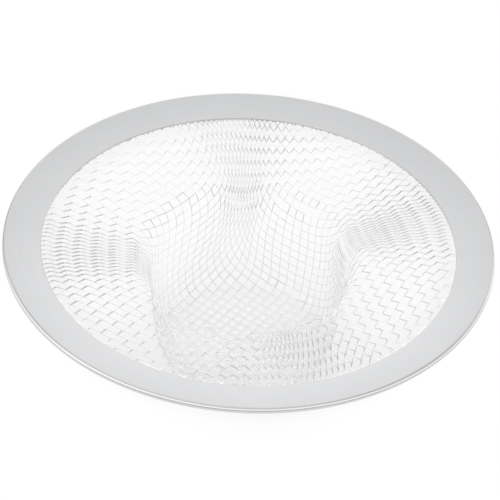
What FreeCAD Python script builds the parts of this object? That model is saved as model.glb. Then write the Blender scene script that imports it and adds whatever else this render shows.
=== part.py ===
import FreeCAD, Part
import math
import os

# A sink strainer: a basket pressed from one sheet of expanded metal, with its edge held in a folded rim.
# Millimetres, +Z up, origin in the middle of the underside of the basket's floor.

Vector = FreeCAD.Vector
axis_start = Vector(0, 0, 0)
axis_up = Vector(0, 0, 1)
full_turn_degrees = 360

# The whole strainer
overall_diameter = 114.0
overall_height = 31.0

# The rim: one sheet, rolled over at the outer edge and folded back under the mesh
rim_width = 9.0
rim_dish = 1.0
rim_sheet = 0.4
hem_width = 8.0

# The mesh sheet and its seat in the fold
mesh_sheet = 0.6
hem_clearance = 0.05
mesh_edge_gap = 0.4
brim_start_gap = 0.6

# The pressed basket, measured at the middle of the sheet's thickness
brim_drop = 3.9
well_mouth_radius = 23.4
well_floor_radius = 20.5
shoulder_bend = 6.0
floor_bend = 3.2

# The openings: diamonds in staggered rows, coarser than the real mesh
strand_width = 0.6
land_width = 0.7
brim_rows = 5
brim_count = 32
wall_rows = 5
wall_count = 20
floor_pitch = 5.2
cut_overrun = 1.0

# Worked out from the sizes above
overall_radius = overall_diameter / 2
hem_half_thickness = rim_sheet + hem_clearance + mesh_sheet / 2
hem_gap_half = hem_half_thickness - rim_sheet
roll_centre = Vector(overall_radius - hem_half_thickness, 0, overall_height - hem_half_thickness)
rim_slope = math.atan2(rim_dish, rim_width)
inward_along_rim = Vector(-math.cos(rim_slope), 0, -math.sin(rim_slope))
up_from_rim = Vector(-math.sin(rim_slope), 0, math.cos(rim_slope))


def rim_point(inward, height):
    """A point of the rim's section, measured inward from the roll's centre and up from the hem's middle."""
    return roll_centre + inward_along_rim * inward + up_from_rim * height


def line(start, end):
    return Part.LineSegment(start, end).toShape()


def arc(start, middle, end):
    return Part.Arc(start, middle, end).toShape()


def revolved(edges):
    """The solid of revolution of a closed section in the XZ plane."""
    section = Part.Face(Part.Wire(Part.__sortEdges__(edges)))
    return section.revolve(axis_start, axis_up, full_turn_degrees)


def make_rim_ring():
    """The folded ring: upper leaf, rolled edge and lower leaf, open towards the middle for the mesh."""
    upper_reach = rim_width - hem_half_thickness
    lower_reach = hem_width - hem_half_thickness
    upper_tip = rim_point(upper_reach, hem_half_thickness)
    upper_inside = rim_point(upper_reach, hem_gap_half)
    lower_tip = rim_point(lower_reach, -hem_half_thickness)
    lower_inside = rim_point(lower_reach, -hem_gap_half)
    outer_arc = arc(
        rim_point(0, hem_half_thickness),
        rim_point(-hem_half_thickness, 0),
        rim_point(0, -hem_half_thickness),
    )
    inner_arc = arc(rim_point(0, hem_gap_half), rim_point(-hem_gap_half, 0), rim_point(0, -hem_gap_half))
    return revolved([
        line(upper_tip, rim_point(0, hem_half_thickness)),
        outer_arc,
        line(rim_point(0, -hem_half_thickness), lower_tip),
        line(lower_tip, lower_inside),
        line(lower_inside, rim_point(0, -hem_gap_half)),
        inner_arc,
        line(rim_point(0, hem_gap_half), upper_inside),
        line(upper_inside, upper_tip),
    ])


def corner_cut(before, corner, after, radius):
    """The two tangent points and the middle of the arc that rounds one corner of a path."""
    to_before = (before - corner).normalize()
    to_after = (after - corner).normalize()
    half_angle = to_before.getAngle(to_after) / 2
    reach = radius / math.tan(half_angle)
    inward = (to_before + to_after).normalize()
    middle = corner + inward * (radius / math.sin(half_angle) - radius)
    return corner + to_before * reach, middle, corner + to_after * reach


def beside(path, offset):
    """The path moved sideways, to its left for a positive offset, with its corners kept sharp."""
    normals = []
    for start, end in zip(path, path[1:]):
        along = (end - start).normalize()
        normals.append(Vector(-along.z, 0, along.x))
    moved = [path[0] + normals[0] * offset]
    for corner, first, second in zip(path[1:], normals, normals[1:]):
        between = (first + second).normalize()
        moved.append(corner + between * (offset / between.dot(first)))
    moved.append(path[-1] + normals[-1] * offset)
    return moved


def rounded(path, bends):
    """Lines and arcs along a path whose inner corners have the given bend radii, zero for a sharp one."""
    edges = []
    start = path[0]
    for before, corner, after, radius in zip(path, path[1:], path[2:], bends):
        if radius == 0:
            edges.append(line(start, corner))
            start = corner
        else:
            first, middle, last = corner_cut(before, corner, after, radius)
            edges.append(line(start, first))
            edges.append(arc(first, middle, last))
            start = last
    edges.append(line(start, path[-1]))
    return edges


# The basket's path from the middle of the floor to the edge in the fold
floor_height = mesh_sheet / 2
brim_start = rim_point(max(rim_width, hem_width) - hem_half_thickness + brim_start_gap, 0)
mesh_edge = rim_point(mesh_edge_gap, 0)
basket_path = [
    Vector(0, 0, floor_height),
    Vector(well_floor_radius, 0, floor_height),
    Vector(well_mouth_radius, 0, brim_start.z - brim_drop),
    brim_start,
    mesh_edge,
]
floor_edge, floor_bend_middle, _ = corner_cut(*basket_path[0:3], floor_bend)
wall_head, shoulder_middle, _ = corner_cut(*basket_path[1:4], shoulder_bend)


def make_basket_sheet():
    """The pressed sheet without its openings."""
    half = mesh_sheet / 2
    inside = beside(basket_path, half)
    outside = beside(basket_path, -half)
    inside_edges = rounded(inside, [floor_bend - half, shoulder_bend + half, 0])
    outside_edges = rounded(outside, [floor_bend + half, shoulder_bend - half, 0])
    ends = [line(inside[0], outside[0]), line(inside[-1], outside[-1])]
    return revolved(inside_edges + outside_edges + ends)


def open_share(half_length, half_width):
    """How much of a diamond stays open when a strand of half its width is left along each side."""
    side_distance = half_length * half_width / math.hypot(half_length, half_width)
    return 1 - strand_width / 2 / side_distance


def prism(corners, travel):
    return Part.Face(Part.makePolygon(corners + corners[:1])).extrude(travel)


def around(radius, angle, height):
    return Vector(radius * math.cos(angle), radius * math.sin(angle), height)


def brim_cutters():
    """Upright prisms: diamonds drawn out along the radius, in rings from mid-shoulder to the rim."""
    inner = shoulder_middle.x + land_width
    outer = rim_point(rim_width - hem_half_thickness, 0).x - land_width
    half_length = (outer - inner) / (brim_rows + 1)
    half_angle = math.pi / brim_count
    base = wall_head.z
    travel = Vector(0, 0, overall_height - base)
    cutters = []
    for row in range(brim_rows):
        radius = inner + half_length * (row + 1)
        share = open_share(half_length, radius * half_angle)
        for step in range(brim_count):
            angle = half_angle * (2 * step + row % 2)
            corners = [
                around(radius - half_length * share, angle, base),
                around(radius, angle + half_angle * share, base),
                around(radius + half_length * share, angle, base),
                around(radius, angle - half_angle * share, base),
            ]
            cutters.append(prism(corners, travel))
    return cutters


def wall_cutters():
    """Prisms along the radius: diamonds in level rows from mid-bend at the floor to mid-shoulder."""
    low = floor_bend_middle.z + land_width
    high = shoulder_middle.z - land_width
    half_height = (high - low) / (wall_rows + 1)
    half_angle = math.pi / wall_count
    reach = max(shoulder_middle.x, well_floor_radius) + mesh_sheet + cut_overrun
    depth = reach - floor_edge.x
    half_width = well_floor_radius * math.tan(half_angle)
    share = open_share(half_height, half_width)
    cutters = []
    for row in range(wall_rows):
        height = low + half_height * (row + 1)
        for step in range(wall_count):
            angle = half_angle * (2 * step + row % 2)
            outward = around(1, angle, 0)
            sideways = around(1, angle + math.pi / 2, 0)
            middle = outward * reach + axis_up * height
            corners = [
                middle - axis_up * half_height * share,
                middle + sideways * half_width * share,
                middle + axis_up * half_height * share,
                middle - sideways * half_width * share,
            ]
            cutters.append(prism(corners, outward * -depth))
    return cutters


def floor_cutters():
    """Upright prisms: a square net turned an eighth of a turn, with a crossing in its middle."""
    half_diagonal = floor_pitch / math.sqrt(2)
    opening = (floor_pitch - strand_width) / math.sqrt(2)
    limit = floor_bend_middle.x - land_width
    steps = math.ceil(limit / half_diagonal)
    base = -cut_overrun
    travel = Vector(0, 0, floor_bend_middle.z + mesh_sheet + 2 * cut_overrun)
    cutters = []
    for across in range(-steps, steps + 1):
        for along in range(-steps, steps + 1):
            centre = Vector(across * half_diagonal, along * half_diagonal, base)
            far_side = max(abs(centre.x), abs(centre.y)) + opening
            near_side = min(abs(centre.x), abs(centre.y))
            if (across + along) % 2 == 1 and math.hypot(far_side, near_side) < limit:
                corners = [
                    centre + Vector(opening, 0, 0),
                    centre + Vector(0, opening, 0),
                    centre - Vector(opening, 0, 0),
                    centre - Vector(0, opening, 0),
                ]
                cutters.append(prism(corners, travel))
    return cutters


def make_mesh_basket():
    cutters = brim_cutters() + wall_cutters() + floor_cutters()
    print("openings", len(cutters))
    return make_basket_sheet().cut(cutters)


parts = {
    "rim_ring": make_rim_ring(),
    "mesh_basket": make_mesh_basket(),
}

os.makedirs("parts", exist_ok=True)
for name, shape in parts.items():
    print(name, "valid", shape.isValid(), "solids", len(shape.Solids), "volume", round(shape.Volume, 1))
    shape.exportStep(f"parts/{name}.step")
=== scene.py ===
import math

import bmesh
import bpy
import numpy as np
from mathutils import Matrix, Vector


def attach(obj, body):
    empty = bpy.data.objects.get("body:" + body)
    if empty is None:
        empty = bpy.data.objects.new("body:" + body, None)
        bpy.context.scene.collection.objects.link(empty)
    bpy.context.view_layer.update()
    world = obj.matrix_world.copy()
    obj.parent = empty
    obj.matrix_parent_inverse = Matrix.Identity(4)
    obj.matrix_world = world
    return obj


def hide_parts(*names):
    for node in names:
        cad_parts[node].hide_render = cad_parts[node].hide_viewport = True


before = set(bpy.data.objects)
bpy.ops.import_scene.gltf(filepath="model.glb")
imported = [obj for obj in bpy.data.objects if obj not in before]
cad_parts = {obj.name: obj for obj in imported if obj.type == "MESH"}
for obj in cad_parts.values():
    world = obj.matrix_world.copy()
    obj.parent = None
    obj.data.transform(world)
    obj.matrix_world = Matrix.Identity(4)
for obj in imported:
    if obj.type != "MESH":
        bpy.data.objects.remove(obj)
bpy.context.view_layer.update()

# A sink strainer: a basket of expanded metal with its edge held in a folded steel rim, on a white floor.
# Sizes in millimetres, as in the part's source; meshes are scaled to metres at the end.
metres_per_mm = 0.001
nearly_zero = 1e-6
overall_radius = 57.0
overall_height = 31.0

# The rim: one sheet, rolled over at the outer edge and folded back under the mesh
rim_width = 9.0
rim_dish = 1.0
rim_sheet = 0.4
hem_width = 8.0
hem_half_thickness = 0.75
leaf_pinch = 0.33
hem_pinch = 0.25
leaf_tip_round = 0.14
leaf_tip_corner = 0.04
under_tip_round = 0.1
under_tip_corner_length = 0.06
under_tip_corner_height = 0.02
flat_hold = 0.2
under_flat_hold = 0.3
roll_steps = 24
gap_steps = 12
rim_steps = 256
merge_distance = 0.0001
highlight_reach = 1.0
sharp_turn = math.radians(35)

# The pressed basket, measured at the middle of the sheet's thickness
well_floor_radius = 20.5
well_mouth_radius = 23.4
floor_bend = 3.2
shoulder_bend = 6.0
bend_steps = 24
brim_drop = 3.9
floor_height = 0.3
brim_edge_radius = 47.45
brim_edge_height = 29.27
hem_end_radius = 55.4
hem_end_height = 30.15
run_on_lengths = 12
reading_step = 0.05

# The expanded mesh and the springs that lay it over the pressed shape
strand_pitch = 2.18
strand_width = 0.28
strand_thickness = 0.08
net_margin = 2.0
bias_count = 4
gather_start = 15.0
gather_length = 12.0
gather_turn = 0.55
gather_stretch = 0.1
settle_rounds = 1500
strand_stiffness = 1.0
diagonal_stiffness = 0.003
straight_stiffness = 0.25
kept_speed = 0.97
force_step = 0.12
time_step = 0.5
least_radius = 0.001

# How pressing draws and slips the net. Draws, slips and headings are in degrees, and headings are counted
# round the basket from +X towards +Y. A reach is a distance along the section from the middle of the floor.
# Each profile is (places, values at them).
net_turn = math.radians(56.5)
bias_spacing = 90
draw_by_bias = ([-45, -26, -16, -6, 6, 16, 26, 45], [0, 3.7, 3.7, 0.7, -0.7, -3.7, -3.7, 0])
draw_by_reach = ([22, 34], [0, 1])
slip_by_reach = ([28, 46, 72], [0, 1, 0.65])
even_slip = 0.9
uneven_slip = 11.5
slip_heading = -31

# How far the strands twist
peak_twist = 0.13
rest_twist = 0.09
hem_fade = 0.7
twist_by_reach = ([44, 54, 62], [0.4, 0.8, 1.0])
even_press = 0.75
uneven_press = 0.35
light_press_heading = 122
full_shear = 0.6
unsheared_share = 0.45
square_side_share = 0.52
square_side_heading = 215
square_side_focus = 6

# How wide the strands are, as shares of the full width
inner_width_share = 0.68
right_widening = 0.1
right_heading = 20
lip_narrowing = 0.2
lip_heading = 140
lip_by_reach = ([26, 30, 37, 42], [0, 1, 1, 0])
front_narrowing = 0.12
front_heading = 255
full_width_by_reach = ([44, 56], [0, 1])


def rounded_section(corners, bends):
    """Points of a bent sheet's middle line: straight runs joined by arcs of the given radii."""
    points = [np.array(corners[0])]
    for before, corner, after, bend in zip(corners, corners[1:], corners[2:], bends):
        before, corner, after = np.array(before), np.array(corner), np.array(after)
        if bend == 0:
            points.append(corner)
            continue
        to_before = (before - corner) / np.linalg.norm(before - corner)
        to_after = (after - corner) / np.linalg.norm(after - corner)
        half_angle = math.acos(to_before @ to_after) / 2
        inward = (to_before + to_after) / np.linalg.norm(to_before + to_after)
        centre = corner + inward * bend / math.sin(half_angle)
        start = corner + to_before * bend / math.tan(half_angle) - centre
        end = corner + to_after * bend / math.tan(half_angle) - centre
        sweep = math.pi - 2 * half_angle
        for step in range(bend_steps + 1):
            share = step / bend_steps
            mixed = start * math.sin((1 - share) * sweep) + end * math.sin(share * sweep)
            points.append(centre + mixed / math.sin(sweep))
    points.append(np.array(corners[-1]))
    return np.array(points)


class PressedShape:
    """The basket's surface of revolution, read by distance along its section from the middle of the floor."""

    def __init__(self):
        corners = [
            (0.0, floor_height),
            (well_floor_radius, floor_height),
            (well_mouth_radius, brim_edge_height - brim_drop),
            (brim_edge_radius, brim_edge_height),
            (hem_end_radius, hem_end_height),
        ]
        section = rounded_section(corners, [floor_bend, shoulder_bend, 0])
        # the section runs on past the hem, for the strands that are cut off there later
        beyond = section[-1] + (section[-1] - section[-2]) * run_on_lengths
        section = np.vstack([section, beyond])
        runs = np.linalg.norm(np.diff(section, axis=0), axis=1)
        reach = np.concatenate([[0], np.cumsum(runs)])
        self.hem_end = reach[-2]
        self.brim_edge = reach[-3]
        self.reach = np.arange(0, reach[-1], reading_step)
        self.radius = np.interp(self.reach, reach, section[:, 0])
        self.height = np.interp(self.reach, reach, section[:, 1])
        self.outward = np.gradient(self.radius, self.reach)
        self.upward = np.gradient(self.height, self.reach)

    def read(self, table, reach):
        return np.interp(reach, self.reach, table)

    def place(self, reach, angle):
        radius = self.read(self.radius, reach)
        height = self.read(self.height, reach)
        return np.stack([radius * np.cos(angle), radius * np.sin(angle), height], -1)


def pull(places, forces, first, second, rest_length, stiffness, used):
    """Adds the pull of the springs between two shifted views of the net."""
    along = places[second] - places[first]
    length = np.maximum(np.linalg.norm(along, axis=-1), nearly_zero)
    pulls = (stiffness * (length - rest_length) / length * used)[..., None] * along
    forces[first] += pulls
    forces[second] -= pulls


def straighten(places, forces, before, middle, after, stiffness, used):
    """Adds the force that keeps a strand from kinking at a crossing."""
    kink = (places[after] - 2 * places[middle] + places[before]) * (stiffness * used)[..., None]
    forces[middle] += 2 * kink
    forces[before] -= kink
    forces[after] -= kink


def start_net(half_count):
    """A square net on the flat, gathered in four places and spread in four others as the well will do it."""
    steps = np.arange(-half_count, half_count + 1)
    across, along = np.meshgrid(steps, steps, indexing="ij")
    flat_reach = np.hypot(across, along) * strand_pitch
    flat_angle = np.arctan2(along, across)
    inside = flat_reach <= half_count * strand_pitch
    gathered = np.clip((flat_reach - gather_start) / gather_length, 0, 1)
    # eased in and out
    gathered = gathered * gathered * (3 - 2 * gathered)
    angle = flat_angle + gather_turn * gathered * np.sin(bias_count * flat_angle) / bias_count
    reach = flat_reach * (1 + gather_stretch * gathered * (1 - np.cos(bias_count * flat_angle)))
    return reach * np.cos(angle), reach * np.sin(angle), inside


def settle_net(shape, half_count):
    """Lays the net over the pressed shape and lets its strands find their places on it."""
    x, y, inside = start_net(half_count)
    speed_x, speed_y = np.zeros_like(x), np.zeros_like(y)
    diagonal_pitch = strand_pitch * math.sqrt(2)
    every = slice(None)
    early, late = slice(None, -1), slice(1, None)
    first, middle, last = slice(None, -2), slice(1, -1), slice(2, None)
    strands = [((early, every), (late, every)), ((every, early), (every, late))]
    diagonals = [((early, early), (late, late)), ((early, late), (late, early))]
    runs = [
        ((first, every), (middle, every), (last, every)),
        ((every, first), (every, middle), (every, last)),
    ]
    for _ in range(settle_rounds):
        reach = np.maximum(np.hypot(x, y), nearly_zero)
        cosine, sine = x / reach, y / reach
        radius = shape.read(shape.radius, reach)
        height = shape.read(shape.height, reach)
        outward = shape.read(shape.outward, reach)
        upward = shape.read(shape.upward, reach)
        places = np.stack([radius * cosine, radius * sine, height], -1)
        forces = np.zeros_like(places)
        for start, end in strands:
            pull(places, forces, start, end, strand_pitch, strand_stiffness, inside[start] & inside[end])
        for start, end in diagonals:
            pull(places, forces, start, end, diagonal_pitch, diagonal_stiffness, inside[start] & inside[end])
        for start, mid, end in runs:
            straighten(places, forces, start, mid, end, straight_stiffness, inside[start] & inside[end])
        level_slope = forces[..., 0] * outward * cosine + forces[..., 1] * outward * sine
        up_slope = level_slope + forces[..., 2] * upward
        round_slope = forces[..., 1] * cosine - forces[..., 0] * sine
        round_slope = round_slope * reach / np.maximum(radius, least_radius)
        speed_x = kept_speed * speed_x + force_step * (up_slope * cosine - round_slope * sine)
        speed_y = kept_speed * speed_y + force_step * (up_slope * sine + round_slope * cosine)
        x = x + time_step * speed_x
        y = y + time_step * speed_y
    return np.hypot(x, y), np.arctan2(y, x)


def towards(angle, heading):
    """How far an angle points towards a heading: 1 along it, -1 away from it."""
    return np.cos(angle - math.radians(heading))


def press_net(reach, angle):
    """Draws the brim's openings narrow on the bias and wide between, then slips the sheet round the brim."""
    from_bias = np.degrees(angle) % bias_spacing - bias_spacing / 2
    draw = np.interp(from_bias, *draw_by_bias)
    angle = angle + np.radians(draw) * np.interp(reach, *draw_by_reach) + net_turn
    slip = np.radians(even_slip + uneven_slip * towards(angle, slip_heading))
    return angle + np.interp(reach, *slip_by_reach) * slip


def twist_shares(shape, reach, angle, places):
    """How much of its full twist each crossing has: most where the openings are drawn narrow."""
    across = np.gradient(places, axis=0)
    along = np.gradient(places, axis=1)
    lengths = np.linalg.norm(across, axis=-1) * np.linalg.norm(along, axis=-1)
    shear = np.abs((across * along).sum(-1)) / np.maximum(lengths, nearly_zero)
    outside_hem = np.clip((shape.brim_edge - reach) / hem_fade, 0, 1)
    pressed = np.clip(even_press - uneven_press * towards(angle, light_press_heading), 0, 1)
    outer = np.interp(reach, *twist_by_reach)
    # on one side of the brim the square openings twist too
    square_side = np.exp(square_side_focus * towards(angle, square_side_heading) - square_side_focus)
    unsheared = unsheared_share + square_side_share * square_side
    twisted = unsheared + (1 - unsheared) * np.minimum(shear / full_shear, 1)
    return twisted * outside_hem * pressed * outer


def width_shares(reach, angle):
    """How much of the full strand width each crossing has: less in the well and on its lip."""
    on_lip = np.interp(reach, *lip_by_reach)
    upper_left = np.maximum(towards(angle, lip_heading), 0)
    front_side = np.maximum(towards(angle, front_heading), 0)
    inner = inner_width_share + right_widening * towards(angle, right_heading)
    inner = inner - lip_narrowing * on_lip * upper_left - front_narrowing * front_side
    return inner + (1 - inner) * np.interp(reach, *full_width_by_reach)


def finish_piece(mesh_builder, name, material, smooth):
    """Turns a bmesh in millimetres into an object in metres at the origin."""
    bmesh.ops.transform(mesh_builder, matrix=Matrix.Scale(metres_per_mm, 4), verts=mesh_builder.verts)
    mesh = bpy.data.meshes.new(name)
    mesh_builder.to_mesh(mesh)
    mesh_builder.free()
    for polygon in mesh.polygons:
        polygon.use_smooth = smooth
    mesh.materials.append(material)
    piece = bpy.data.objects.new(name, mesh)
    bpy.context.scene.collection.objects.link(piece)
    return piece


def lay_net(shape, half_count, reach, places):
    """The net as a grid of openings that ends in the hem, and the row and column of each of its crossings."""
    net = bmesh.new()
    segments = 2 * half_count
    bmesh.ops.create_grid(net, x_segments=segments, y_segments=segments, size=half_count)
    crossings = {}
    outside = []
    for vert in net.verts:
        across, along = round(vert.co.x), round(vert.co.y)
        crossing = (across + half_count, along + half_count)
        crossings[vert] = crossing
        vert.co = Vector(places[crossing])
        if reach[crossing] > shape.hem_end or math.hypot(across, along) > half_count:
            outside.append(vert)
    bmesh.ops.delete(net, geom=outside, context="VERTS")
    bmesh.ops.delete(net, geom=[vert for vert in net.verts if not vert.link_faces], context="VERTS")
    bmesh.ops.recalc_face_normals(net, faces=net.faces)
    net.normal_update()
    if sum(face.normal.z for face in net.faces) < 0:
        bmesh.ops.reverse_faces(net, faces=net.faces)
        net.normal_update()
    return net, crossings


def make_mesh_basket(material):
    """The expanded mesh: every second opening is pushed down and the others up, so the strands twist."""
    shape = PressedShape()
    half_count = math.ceil((shape.hem_end + net_margin) / strand_pitch)
    reach, angle = settle_net(shape, half_count)
    angle = press_net(reach, angle)
    places = shape.place(reach, angle)
    twist_share = twist_shares(shape, reach, angle, places)
    width_share = width_shares(reach, angle)
    net, crossings = lay_net(shape, half_count, reach, places)

    corners = {}
    for face in net.faces:
        rows, columns = zip(*[crossings[vert] for vert in face.verts])
        side = -1 if (min(rows) + min(columns)) % 2 == 0 else 1
        corners[face] = []
        for vert in face.verts:
            crossing = crossings[vert]
            full_twist = peak_twist if sum(crossing) % 2 == 0 else rest_twist
            twist = vert.normal * side * twist_share[crossing] * full_twist
            corners[face].append((vert.co.copy(), width_share[crossing], twist))
    openings = list(net.faces)
    bmesh.ops.inset_individual(net, faces=openings, thickness=strand_width / 2, use_even_offset=True)
    for face in openings:
        for vert, (start, share, twist) in zip(face.verts, corners[face]):
            vert.co = start + (vert.co - start) * share + twist
    bmesh.ops.delete(net, geom=openings, context="FACES_ONLY")
    piece = finish_piece(net, "mesh_basket_strands", material, smooth=False)
    thicken = piece.modifiers.new("sheet", "SOLIDIFY")
    thicken.thickness = strand_thickness * metres_per_mm
    thicken.offset = 0
    return piece


def rim_section():
    """The folded rim's outline: the flat leaf, the rolled edge and the leaf under the mesh."""
    slope = math.atan2(rim_dish, rim_width)
    roll_radius = overall_radius - hem_half_thickness
    roll_height = overall_height - hem_half_thickness
    half = hem_half_thickness
    gap = half - rim_sheet
    tip = rim_width - half
    under_tip = hem_width - half
    tip_top = half - leaf_pinch
    tip_under = gap - hem_pinch
    roll_top = 90
    roll_bottom = 270

    def around_roll(radius, start, end, steps):
        turns = [math.radians(start + (end - start) * step / steps) for step in range(steps + 1)]
        return [(radius * math.cos(turn), radius * math.sin(turn)) for turn in turns]

    def leaf(inward):
        return (inward, half - leaf_pinch * inward / tip)

    # points are (inward from the roll's centre, up from the hem's middle); holds keep the flats' shading even
    upper_leaf = [
        (tip, tip_under),
        (tip, tip_top - leaf_tip_round),
        (tip - leaf_tip_corner, tip_top - leaf_tip_corner),
        leaf(tip - leaf_tip_round),
        leaf(tip - flat_hold),
        leaf(tip / 2),
        leaf(2 * flat_hold),
        leaf(flat_hold),
    ]
    lower_leaf = [
        (under_flat_hold, -half),
        (under_tip - flat_hold, -tip_top),
        (under_tip - under_tip_corner_length, under_tip_corner_height - tip_top),
        (under_tip, under_tip_round - tip_top),
        (under_tip, -tip_under),
    ]
    outline = upper_leaf + around_roll(half, roll_top, roll_bottom, roll_steps)
    outline += lower_leaf + around_roll(gap, roll_bottom, roll_top, gap_steps)
    return [
        (
            roll_radius - inward * math.cos(slope) - up * math.sin(slope),
            roll_height - inward * math.sin(slope) + up * math.cos(slope),
        )
        for inward, up in outline
    ]


def make_rim_ring(material):
    """The folded rim, spun from its outline, with shading broken only at its sharp turns."""
    ring = bmesh.new()
    section = [ring.verts.new((radius, 0, height)) for radius, height in rim_section()]
    edges = [ring.edges.new(pair) for pair in zip(section, section[1:] + section[:1])]
    bmesh.ops.spin(
        ring,
        geom=section + edges,
        cent=(0, 0, 0),
        axis=(0, 0, 1),
        angle=math.tau,
        steps=rim_steps,
        use_merge=True,
    )
    bmesh.ops.remove_doubles(ring, verts=ring.verts, dist=merge_distance)
    bmesh.ops.recalc_face_normals(ring, faces=ring.faces)
    for edge in ring.edges:
        edge.smooth = edge.calc_face_angle(0) < sharp_turn
    return finish_piece(ring, "rim_ring_folded", material, smooth=True)


def grey(tone):
    return (tone, tone, tone, 1)


def new_material(name):
    """A material, its node tree and its main shader."""
    material = bpy.data.materials.new(name)
    material.use_nodes = True
    tree = material.node_tree
    return material, tree, tree.nodes["Principled BSDF"]


def set_inputs(tree, node, inputs):
    """Sets each named or numbered input to a plain value, or links it to another node's output."""
    for name, value in inputs.items():
        if isinstance(value, bpy.types.NodeSocket):
            tree.links.new(value, node.inputs[name])
        else:
            node.inputs[name].default_value = value


def add_node(tree, kind, inputs, **settings):
    """A new shader node with its settings and inputs."""
    node = tree.nodes.new("ShaderNode" + kind)
    for name, value in settings.items():
        setattr(node, name, value)
    set_inputs(tree, node, inputs)
    return node


def object_place(tree):
    return add_node(tree, "TexCoord", {}).outputs["Object"]


def noise(tree, place, scale, detail):
    return add_node(tree, "TexNoise", {"Vector": place, "Scale": scale, "Detail": detail}).outputs["Fac"]


def calculate(tree, operation, first, second):
    return add_node(tree, "Math", {0: first, 1: second}, operation=operation).outputs["Value"]


def calculate_vector(tree, operation, *vectors):
    return add_node(tree, "VectorMath", dict(enumerate(vectors)), operation=operation).outputs


def map_range(tree, value, given=(0, 1), wanted=(0, 1)):
    """The value moved from the given range to the wanted one, and kept inside it."""
    limits = {"From Min": given[0], "From Max": given[1], "To Min": wanted[0], "To Max": wanted[1]}
    return add_node(tree, "MapRange", {"Value": value, **limits}).outputs["Result"]


def blend(tree, way, share, first, second):
    """Two colours blended in the named way."""
    inputs = {"Fac": share, "Color1": first, "Color2": second}
    return add_node(tree, "MixRGB", inputs, blend_type=way).outputs["Color"]


def ramp(tree, value, stops):
    """Colours by value, from (position, colour) stops."""
    node = add_node(tree, "ValToRGB", {"Fac": value})
    elements = node.color_ramp.elements
    while len(elements) < len(stops):
        elements.new(1.0)
    for element, (position, colour) in zip(elements, stops):
        element.position = position
        element.color = colour
    return node.outputs["Color"]


def make_rim_steel():
    """Satin steel, brushed along the ring, with painted shading that is lighter at the leaf's inner edge and
    a painted highlight on its roll.
    """
    # radii and the depth of the strokes are in metres, as the finished ring is
    darker_steel = (0.618, 0.622, 0.631, 1)
    lighter_steel = (0.673, 0.677, 0.685, 1)
    painted_highlight_steel = grey(0.97)
    cloud_scale = 40
    cloud_detail = 3
    strokes_round = (9, 9, 9)
    strokes_across = 4000
    stroke_detail = 3
    stroke_limits = (0.3, 0.7)
    stroke_tones = (0.985, 1.015)
    stroke_relief = 0.03
    stroke_depth = 0.00002
    leaf_edge = (overall_radius - rim_width) * metres_per_mm
    roll_start = (overall_radius - highlight_reach) * metres_per_mm
    roll_edge = overall_radius * metres_per_mm
    leaf_shading_tones = (1.045, 0.985)
    highlight_across_roll = [(0.56, grey(0)), (0.62, grey(1)), (0.86, grey(1)), (0.92, grey(0))]
    grain_scale = 1500
    grain_detail = 2
    grain_roughness = (0.18, 0.26)

    material, tree, shader = new_material("satin_rim_steel")
    place = object_place(tree)
    clouds = noise(tree, place, cloud_scale, cloud_detail)
    steel = ramp(tree, clouds, [(0, darker_steel), (1, lighter_steel)])
    # the brushing is noise drawn out along the ring
    level = calculate_vector(tree, "MULTIPLY", place, (1, 1, 0))["Vector"]
    heading = calculate_vector(tree, "NORMALIZE", level)["Vector"]
    radius = calculate_vector(tree, "LENGTH", level)["Value"]
    ring = calculate(tree, "MULTIPLY", radius, strokes_across)
    rings = add_node(tree, "CombineXYZ", {"Z": ring}).outputs["Vector"]
    strokes = calculate_vector(tree, "MULTIPLY_ADD", heading, strokes_round, rings)["Vector"]
    brushing = noise(tree, strokes, 1, stroke_detail)
    brushed_tone = map_range(tree, brushing, stroke_limits, stroke_tones)
    # painted shading: the leaf is lighter at its inner edge and darker towards the roll
    leaf_painted_shading = map_range(tree, radius, (leaf_edge, roll_start), leaf_shading_tones)
    steel = blend(tree, "MULTIPLY", 1, steel, calculate(tree, "MULTIPLY", brushed_tone, leaf_painted_shading))
    # painted highlight: a near-white band across the roll, where a lamp's reflection would lie
    painted_highlight = ramp(tree, map_range(tree, radius, (roll_start, roll_edge)), highlight_across_roll)
    relief = {"Strength": stroke_relief, "Distance": stroke_depth, "Height": brushing}
    grain = noise(tree, place, grain_scale, grain_detail)
    set_inputs(tree, shader, {
        "Metallic": 1,
        "Base Color": blend(tree, "MIX", painted_highlight, steel, painted_highlight_steel),
        "Normal": add_node(tree, "Bump", relief).outputs["Normal"],
        "Roughness": map_range(tree, grain, wanted=grain_roughness),
    })
    return material


def make_mesh_steel():
    """Bright steel with a fine uneven tone and gloss."""
    darker_steel = grey(0.90)
    lighter_steel = grey(0.97)
    cloud_scale = 900
    cloud_detail = 2
    roughness = (0.16, 0.28)

    material, tree, shader = new_material("bright_mesh_steel")
    clouds = noise(tree, object_place(tree), cloud_scale, cloud_detail)
    set_inputs(tree, shader, {
        "Metallic": 1,
        "Base Color": ramp(tree, clouds, [(0, darker_steel), (1, lighter_steel)]),
        "Roughness": map_range(tree, clouds, wanted=roughness),
    })
    return material


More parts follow.
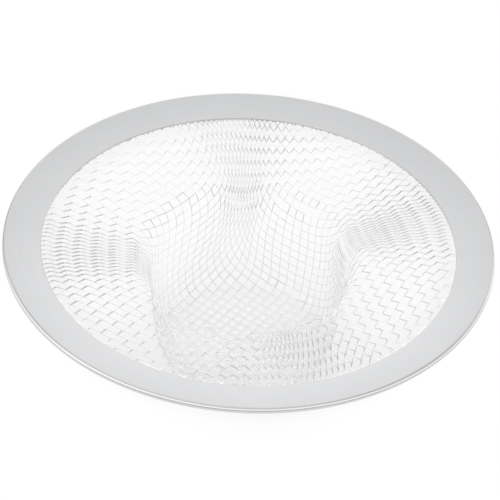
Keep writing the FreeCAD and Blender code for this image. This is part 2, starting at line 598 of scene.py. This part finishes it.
def make_white_floor():
    """Matt white, evened by a glow where it is seen, with painted shade close under the strainer where the
    glow dims.
    """
    paper = {"Base Color": grey(0.9), "Roughness": 0.9, "Specular IOR Level": 0}
    glow_share = 0.7
    glow_levels = (0.80, 1)
    shadow_distance = 0.024
    painted_shade_limits = (0.82, 0.97)

    material, tree, shader = new_material("white_floor")
    set_inputs(tree, shader, paper)
    ray = add_node(tree, "LightPath", {}).outputs
    seen = calculate(tree, "MAXIMUM", ray["Is Camera Ray"], ray["Is Glossy Ray"])
    seen = calculate(tree, "MAXIMUM", seen, ray["Is Transmission Ray"])
    # painted shade: the glow dims where ambient occlusion finds the strainer close above
    occlusion_for_shade = add_node(tree, "AmbientOcclusion", {"Distance": shadow_distance}).outputs["AO"]
    glow = add_node(tree, "Emission", {"Strength": map_range(tree, occlusion_for_shade, painted_shade_limits, glow_levels)})
    share = calculate(tree, "MULTIPLY", seen, glow_share)
    mix = add_node(tree, "MixShader", {0: share, 1: shader.outputs["BSDF"], 2: glow.outputs["Emission"]})
    set_inputs(tree, tree.nodes["Material Output"], {"Surface": mix.outputs["Shader"]})
    return material


def make_floor():
    """A wide floor at the height of the basket's underside."""
    half_width = 2000.0
    pane = bmesh.new()
    bmesh.ops.create_grid(pane, x_segments=1, y_segments=1, size=half_width)
    floor = finish_piece(pane, "floor", make_white_floor(), smooth=False)


def shade_by_direction(tree, direction, tones):
    """World tone by how closely a ray points along one direction: (closeness from -1 to 1, tone)."""
    ray = add_node(tree, "TexCoord", {}).outputs["Generated"]
    closeness = calculate_vector(tree, "DOT_PRODUCT", ray, Vector(direction).normalized())["Value"]
    stops = [((close + 1) / 2, grey(tone)) for close, tone in tones]
    return ramp(tree, map_range(tree, closeness, (-1, 1)), stops)


def make_world():
    """A studio, white behind and greyer in front, with dark places that the tilted strands mirror."""
    backdrop = (-0.06, 0.70, 0.71)
    backdrop_tones = [(-1, 0.45), (-0.3, 0.45), (0.1, 0.72), (0.5, 0.8), (0.75, 0.87), (0.88, 0.97)]
    straight_up = (0, 0, 1)
    height_tones = [(0.05, 1.0), (0.2, 1.2), (0.5, 1.18), (0.7, 1.0)]
    right = (0.636, 0.089, 0.766)
    low_right = (0.72, 0.467, 0.515)
    low_back = (0.419, 0.86, 0.292)
    left = (-0.542, 0.455, 0.707)
    low_left = (-0.636, 0.758, 0.139)
    overhead = (0.09, -0.05, 0.995)
    dark_places = [
        (right, [(0.88, 1.0), (0.92, 0.82), (0.955, 0.58)]),
        (low_right, [(0.968, 1.0), (0.983, 0.8), (0.992, 0.6)]),
        (low_back, [(0.968, 1.0), (0.98, 0.75), (0.99, 0.5)]),
        (left, [(0.962, 1.0), (0.975, 0.8), (0.988, 0.58)]),
        (low_left, [(0.88, 1.0), (0.94, 0.72), (0.975, 0.4)]),
        (overhead, [(0.955, 1.0), (0.97, 0.88), (0.99, 0.75)]),
    ]
    band_middle = (0, 0.34, 0.94)
    band_tones = [(0.05, 0), (0.15, 0.3), (0.56, 0.3), (0.68, 0)]
    front = (0, -1, 0)
    front_shares = [(-0.1, 0), (0.15, 1)]
    matt_light = 0.7

    world = bpy.data.worlds.new("studio")
    bpy.context.scene.world = world
    world.use_nodes = True
    tree = world.node_tree
    studio = shade_by_direction(tree, backdrop, backdrop_tones)
    for direction, tones in [(straight_up, height_tones), *dark_places]:
        studio = blend(tree, "MULTIPLY", 1, studio, shade_by_direction(tree, direction, tones))
    # a brighter band in front, at about the height of the camera
    band = shade_by_direction(tree, band_middle, band_tones)
    band = blend(tree, "MULTIPLY", 1, band, shade_by_direction(tree, front, front_shares))
    studio = blend(tree, "ADD", 1, studio, band)
    # matt surfaces get one even light
    matt_ray = add_node(tree, "LightPath", {}).outputs["Is Diffuse Ray"]
    light = blend(tree, "MIX", matt_ray, studio, grey(matt_light))
    set_inputs(tree, tree.nodes["Background"], {"Color": light})


def make_softbox():
    """A round lamp in front of the strainer, which the steel doesn't mirror."""
    place = Vector((0, -2.3, 1.95))
    aim = Vector((0, 0, 0))
    light = bpy.data.lights.new("softbox", "AREA")
    light.shape = "DISK"
    light.size = 0.6
    light.energy = 72
    lamp = bpy.data.objects.new("softbox", light)
    lamp.location = place
    lamp.rotation_euler = (aim - place).to_track_quat("-Z", "Y").to_euler()
    lamp.visible_glossy = False
    bpy.context.scene.collection.objects.link(lamp)


def make_camera():
    """A long lens that looks down at the rim, turned a little about its own axis."""
    aim = Vector((0, 0, overall_height * metres_per_mm))
    elevation = math.radians(39.85)
    distance = 0.684
    roll = math.radians(3.28)
    view = bpy.data.cameras.new("camera")
    view.lens = 213.1
    view.sensor_width = 36
    view.shift_x = 0.0017
    view.shift_y = -0.018
    camera = bpy.data.objects.new("camera", view)
    camera.location = aim + Vector((0, -math.cos(elevation), math.sin(elevation))) * distance
    level = (aim - camera.location).to_track_quat("-Z", "Y").to_matrix().to_4x4()
    turned = level @ Matrix.Rotation(roll, 4, "Z")
    camera.rotation_euler = turned.to_euler()
    bpy.context.scene.collection.objects.link(camera)
    bpy.context.scene.camera = camera


rim_ring = make_rim_ring(make_rim_steel())
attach(rim_ring, "root")
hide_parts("rim_ring")

mesh_basket = make_mesh_basket(make_mesh_steel())
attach(mesh_basket, "root")
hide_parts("mesh_basket")

make_floor()
make_world()
make_softbox()
make_camera()
bpy.context.scene.view_settings.view_transform = "Standard"
